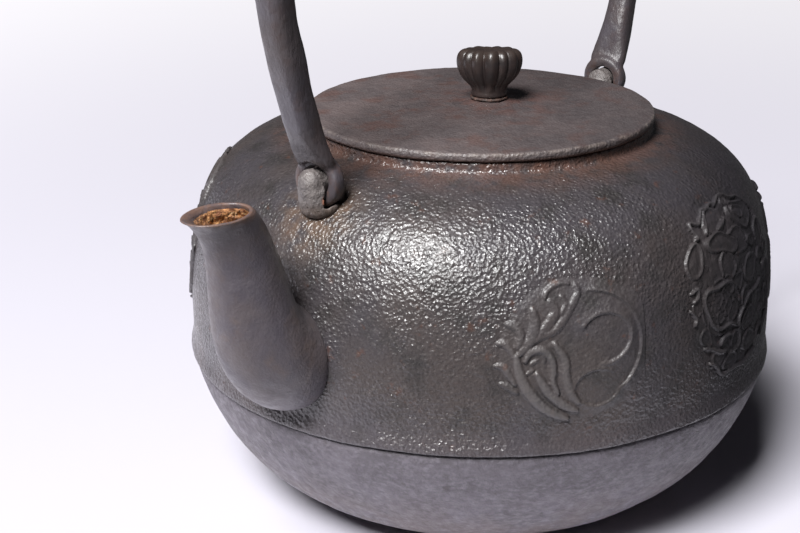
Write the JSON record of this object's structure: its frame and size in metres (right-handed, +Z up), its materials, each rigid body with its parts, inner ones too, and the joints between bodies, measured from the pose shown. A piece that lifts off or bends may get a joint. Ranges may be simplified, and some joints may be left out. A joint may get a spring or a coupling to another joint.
{
  "type": "cast iron teapot",
  "caption": "Round cast iron kettle with a short open spout, a swinging forged bail, relief roundels on its side and a loose flat lid with a lobed knob.",
  "frame": {"origin": "on the kettle's vertical axis, in the flat resting face of the base bowl", "axes": "+Z up along the kettle's axis; the spout points to -X; the bail stands in the XZ plane and swings about X"},
  "size_m": [0.2174, 0.1798, 0.2241],
  "materials": {
    "shell_iron": "hammered, hard-grained cast iron, dark warm brown-grey, satin",
    "base_iron": "smooth cast iron, heat-greyed, matt with a bluish bloom",
    "spout_iron": "smooth cast iron, purple-grey, satin, rusty inside",
    "lug_iron": "worn cast iron with a rust-brown foot",
    "bail_iron": "forged iron with a scaled, satin skin",
    "lid_iron": "cast iron with a worn bright rim and reddish tints",
    "knob_bronze": "dark patinated bronze, glossy on the lobes",
    "fixing_iron": "rusty iron"
  },
  "bodies": {
    "kettle": {"upper_shell": "shell_iron", "flower_relief": "shell_iron", "base_bowl": "base_iron", "spout": "spout_iron", "lug_front": "lug_iron", "lug_rear": "lug_iron"},
    "bail": {"bail": "bail_iron"},
    "lid": {"lid": "lid_iron", "knob": "knob_bronze", "knob_seat": "fixing_iron", "knob_rivet": "fixing_iron", "rivet_washer": "fixing_iron"}
  },
  "joints": [
    {"name": "bail_swing", "type": "hinge", "parent": "kettle", "child": "bail", "pos_m": [0, 0, 0.112], "axis": [1, 0, 0], "range_deg": [-92, 92]},
    {"name": "lid_lift", "type": "slide", "parent": "kettle", "child": "lid", "axis": [0, 0, 1], "range_m": [0, 0.06]}
  ]
}
